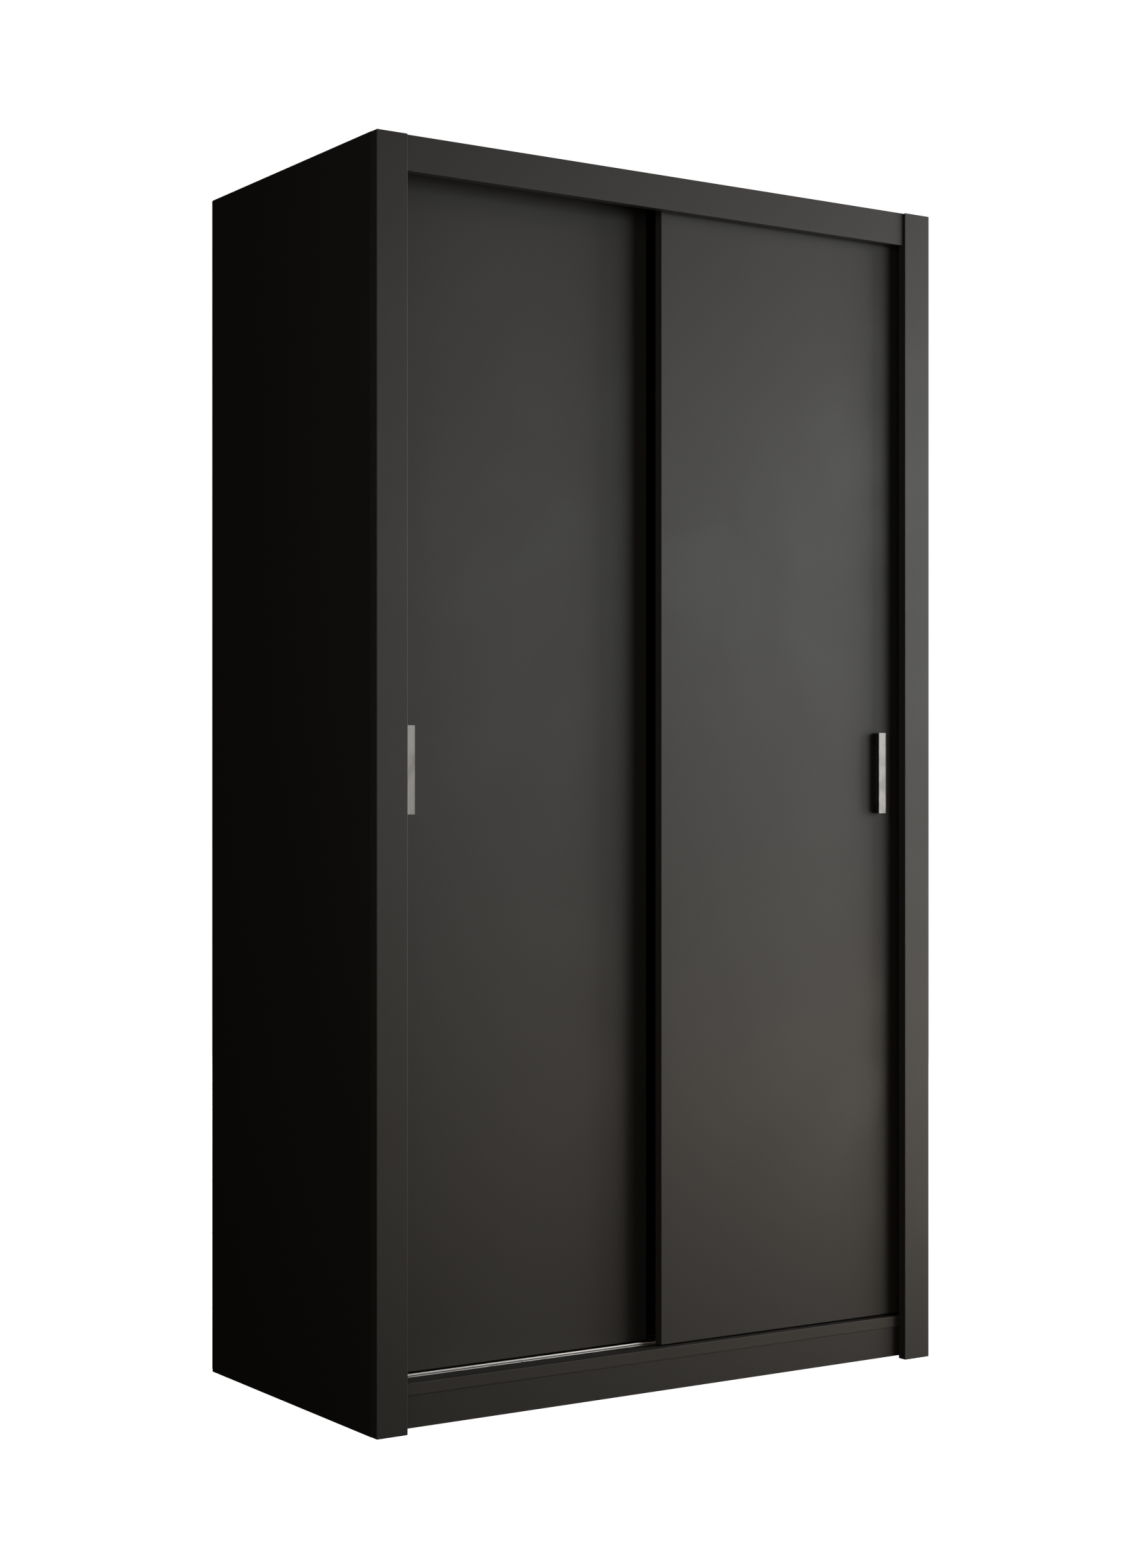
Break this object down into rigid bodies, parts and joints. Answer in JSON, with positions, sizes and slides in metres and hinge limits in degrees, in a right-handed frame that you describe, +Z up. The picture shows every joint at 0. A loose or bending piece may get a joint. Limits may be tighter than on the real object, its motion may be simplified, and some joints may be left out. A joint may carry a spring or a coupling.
{
  "type": "sliding door wardrobe",
  "caption": "Tall box wardrobe with overlapping sliding doors on bottom rails, slim bar pulls, plinth, front posts, hat shelves, a shelved bay and a hanging bay.",
  "frame": {"origin": "centre of the footprint, on the floor", "axes": "+X to the right seen from the front, +Y from the doors to the back, +Z up"},
  "size_m": [1.2, 0.61, 2.15],
  "materials": {
    "black_board": "matt black melamine foil on chipboard, fine grain",
    "back_board": "dark lacquered hardboard",
    "brushed_aluminium": "brushed along its length, satin",
    "rail_aluminium": "natural extruded",
    "zinc_steel": "zinc plated",
    "chrome_tube": "bright chrome plated",
    "black_plastic": "moulded, fine texture",
    "stop_rubber": "matt",
    "white_nylon": "moulded nylon",
    "beech": "raw fluted beech"
  },
  "bodies": {
    "carcass": {"side_panel_left": "black_board", "side_panel_right": "black_board", "front_post_left": "black_board", "front_post_right": "black_board", "top_fascia": "black_board", "top_panel": "black_board", "bottom_panel": "black_board", "front_plinth": "black_board", "rear_plinth": "black_board", "centre_support": "black_board", "floor_glides": "black_plastic", "centre_divider": "black_board", "hat_shelf_left": "black_board", "hat_shelf_right": "black_board", "shelf_1": "black_board", "shelf_2": "black_board", "shelf_3": "black_board", "shelf_4": "black_board", "shelf_pins": "zinc_steel", "hanging_rail": "chrome_tube", "rail_sockets": "zinc_steel", "rail_socket_screws": "zinc_steel", "back_panel_left": "back_board", "back_panel_right": "back_board", "back_joint_strip": "black_plastic", "back_nails": "zinc_steel", "upper_track_front": "rail_aluminium", "upper_track_rear": "rail_aluminium", "lower_rail_front": "rail_aluminium", "lower_rail_rear": "rail_aluminium", "track_screws": "zinc_steel", "door_bumpers": "stop_rubber", "cam_locks": "zinc_steel", "cam_studs": "zinc_steel", "dowels": "beech", "wall_brackets": "zinc_steel", "bracket_screws": "zinc_steel"},
    "door_left": {"door_panel_left": "black_board", "handle_left": "brushed_aluminium", "handle_screws_left": "zinc_steel", "roller_housings_left": "black_plastic", "roller_axles_left": "zinc_steel", "roller_screws_left": "zinc_steel", "top_guides_left": "white_nylon", "guide_screws_left": "zinc_steel"},
    "door_right": {"door_panel_right": "black_board", "handle_right": "brushed_aluminium", "handle_screws_right": "zinc_steel", "roller_housings_right": "black_plastic", "roller_axles_right": "zinc_steel", "roller_screws_right": "zinc_steel", "top_guides_right": "white_nylon", "guide_screws_right": "zinc_steel"},
    "wheel_left_outer": {"wheel_left_outer": "white_nylon"},
    "wheel_left_inner": {"wheel_left_inner": "white_nylon"},
    "wheel_right_outer": {"wheel_right_outer": "white_nylon"},
    "wheel_right_inner": {"wheel_right_inner": "white_nylon"}
  },
  "joints": [
    {"name": "door_left_slide", "type": "slide", "parent": "carcass", "child": "door_left", "axis": [1, 0, 0], "range_m": [0, 0.58]},
    {"name": "door_right_slide", "type": "slide", "parent": "carcass", "child": "door_right", "axis": [1, 0, 0], "range_m": [-0.58, 0]},
    {"name": "wheel_left_outer_spin", "type": "hinge", "parent": "door_left", "child": "wheel_left_outer", "pos_m": [-0.522, -0.192, 0.0963], "axis": [0, 1, 0], "continuous": true},
    {"name": "wheel_left_inner_spin", "type": "hinge", "parent": "door_left", "child": "wheel_left_inner", "pos_m": [-0.058, -0.192, 0.0963], "axis": [0, 1, 0], "continuous": true},
    {"name": "wheel_right_outer_spin", "type": "hinge", "parent": "door_right", "child": "wheel_right_outer", "pos_m": [0.522, -0.242, 0.0963], "axis": [0, 1, 0], "continuous": true},
    {"name": "wheel_right_inner_spin", "type": "hinge", "parent": "door_right", "child": "wheel_right_inner", "pos_m": [0.058, -0.242, 0.0963], "axis": [0, 1, 0], "continuous": true}
  ],
  "couplings": [
    {"joint": "wheel_left_outer_spin", "follows": "door_left_slide", "rad_per_m": 90.909},
    {"joint": "wheel_left_inner_spin", "follows": "door_left_slide", "rad_per_m": 90.909},
    {"joint": "wheel_right_outer_spin", "follows": "door_right_slide", "rad_per_m": 90.909},
    {"joint": "wheel_right_inner_spin", "follows": "door_right_slide", "rad_per_m": 90.909}
  ]
}
